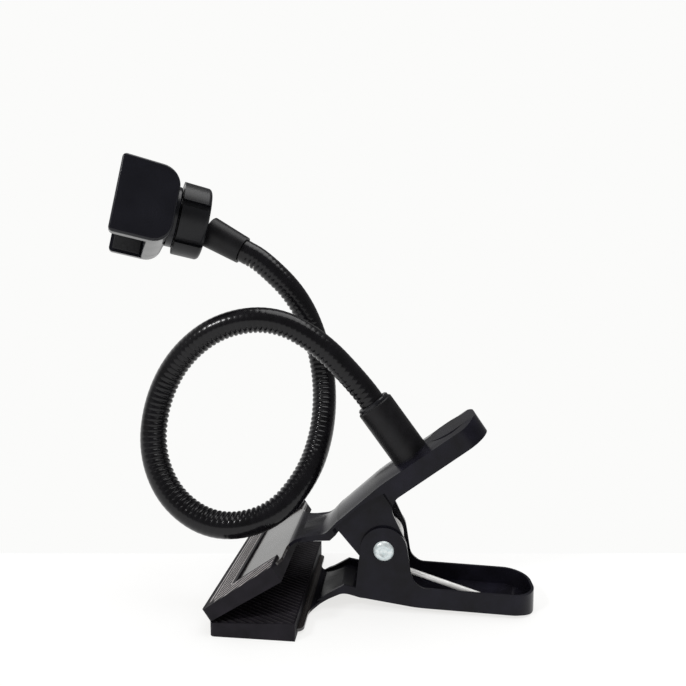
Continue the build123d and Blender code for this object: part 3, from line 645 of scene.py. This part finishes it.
def sweep_white():
    """Matt white paper on a white table: faint warm shadows on the paper, none on the table behind."""
    made = bpy.data.materials.new("matt_white_paper")
    made.use_nodes = True
    tree = made.node_tree
    tree.nodes.clear()
    paper = node(tree, "ShaderNodeBsdfDiffuse", {"Color": linear("#f1f3f6")})
    warm = node(tree, "ShaderNodeEmission", {"Color": linear("#fffefc"), "Strength": 1.0})
    table = node(tree, "ShaderNodeEmission", {"Color": linear("#fbfbfa"), "Strength": 1.0})
    path = node(tree, "ShaderNodeLightPath")
    seen = node(tree, "ShaderNodeMath", {0: path.outputs["Is Camera Ray"], 1: path.outputs["Is Glossy Ray"]},
                operation="MAXIMUM")
    share = node(tree, "ShaderNodeMath", {0: seen.outputs[0], 1: 0.74}, operation="MULTIPLY")
    mixed = node(tree, "ShaderNodeMixShader", {0: share.outputs[0], 1: paper.outputs[0], 2: warm.outputs[0]})
    place = node(tree, "ShaderNodeTexCoord").outputs["Object"]
    heading = (math.sin(YAW), math.cos(YAW), 0)
    product = node(tree, "ShaderNodeVectorMath", {0: place, 1: heading}, operation="DOT_PRODUCT")
    depth = product.outputs["Value"]
    behind = node(tree, "ShaderNodeMath", {0: depth, 1: FLOOR_LINE}, operation="GREATER_THAN").outputs[0]
    far = node(tree, "ShaderNodeMath", {0: behind, 1: seen.outputs[0]}, operation="MULTIPLY").outputs[0]
    whole = node(tree, "ShaderNodeMixShader", {0: far, 1: mixed.outputs[0], 2: table.outputs[0]})
    node(tree, "ShaderNodeOutputMaterial", {"Surface": whole.outputs[0]})
    return made


def flat_sheet(name, size, matrix, finish):
    """A square sheet of the stage, which belongs to no body."""
    bm = bmesh.new()
    bmesh.ops.create_grid(bm, x_segments=1, y_segments=1, size=size)
    bmesh.ops.transform(bm, matrix=matrix, verts=bm.verts)
    mesh = bpy.data.meshes.new(name)
    bm.to_mesh(mesh)
    bm.free()
    made = bpy.data.objects.new(name, mesh)
    mesh.materials.append(finish)
    bpy.context.scene.collection.objects.link(made)


flat_sheet("table_top", 6.0, Matrix.Translation((0, 0, -0.0001)), sweep_white())


def levels(tree, value, low, high, at_low, at_high):
    """A value that runs from one level to another between two places."""
    inputs = {"Value": value, "From Min": low, "From Max": high, "To Min": at_low, "To Max": at_high}
    return node(tree, "ShaderNodeMapRange", inputs).outputs[0]


def room_light():
    """White room for the camera. Surfaces mirror mostly the lower left of its back wall."""
    world = bpy.data.worlds.new("white_room")
    bpy.context.scene.world = world
    world.use_nodes = True
    tree = world.node_tree
    tree.nodes.clear()
    path = node(tree, "ShaderNodeLightPath")
    clear = node(tree, "ShaderNodeMath",
                 {0: path.outputs["Is Camera Ray"], 1: path.outputs["Is Transmission Ray"]},
                 operation="MAXIMUM")
    direction = node(tree, "ShaderNodeTexCoord").outputs["Generated"]
    parts = node(tree, "ShaderNodeSeparateXYZ", {"Vector": direction})
    behind = levels(tree, parts.outputs["Y"], -0.3, 0.3, 0.15, 1.0)
    below = levels(tree, parts.outputs["Z"], 0.3, 0.7, 1.0, 0.12)
    left = levels(tree, parts.outputs["X"], -0.4, -0.32, 1.0, 0.08)
    below_left = node(tree, "ShaderNodeMath", {0: below, 1: left}, operation="MULTIPLY").outputs[0]
    seen = node(tree, "ShaderNodeMath", {0: behind, 1: below_left}, operation="MULTIPLY").outputs[0]
    mirrored = node(tree, "ShaderNodeMath", {0: seen, 1: 0.14}, operation="ADD").outputs[0]
    glossy = node(tree, "ShaderNodeMix", {"Factor": path.outputs["Is Glossy Ray"], "A": 0.75, "B": mirrored})
    level = node(tree, "ShaderNodeMix", {"Factor": clear.outputs[0], "A": glossy.outputs[0], "B": 1.0})
    back = node(tree, "ShaderNodeBackground", {"Color": linear("#fbfbfa"), "Strength": level.outputs[0]})
    node(tree, "ShaderNodeOutputWorld", {"Surface": back.outputs[0]})


def soft_box(name, place, aim, width, height, watts):
    """A rectangular studio light that faces the given point."""
    data = bpy.data.lights.new(name, "AREA")
    data.shape = "RECTANGLE"
    data.size, data.size_y, data.energy = width, height, watts
    lamp = bpy.data.objects.new(name, data)
    lamp.location = place
    lamp.rotation_mode = "QUATERNION"
    lamp.rotation_quaternion = (Vector(aim) - Vector(place)).to_track_quat("-Z", "Y")
    bpy.context.scene.collection.objects.link(lamp)


room_light()
soft_box("soft_box_left", (-0.75, -0.75, 0.95), (0, 0, 0.09), 0.16, 0.16, 7.0)
soft_box("soft_box_top", (0.25, 0.1, 1.3), (0, 0, 0.09), 0.9, 0.9, 8.0)

SENSOR = 36.0
FOCAL_PIXELS = 549.3
PICTURE_PIXELS = 686

camera_data = bpy.data.cameras.new("camera")
camera_data.sensor_width = SENSOR
camera_data.lens = SENSOR * FOCAL_PIXELS / PICTURE_PIXELS
camera = bpy.data.objects.new("camera", camera_data)
camera.location = Vector((68.0, -243.3, 134.7)) * MM
look = Vector((math.sin(YAW) * math.cos(PITCH), math.cos(YAW) * math.cos(PITCH), -math.sin(PITCH)))
camera.rotation_mode = "QUATERNION"
camera.rotation_quaternion = look.to_track_quat("-Z", "Y")
camera_data.clip_start = 0.01
bpy.context.scene.collection.objects.link(camera)
bpy.context.scene.camera = camera
bpy.context.scene.view_settings.view_transform = "Standard"
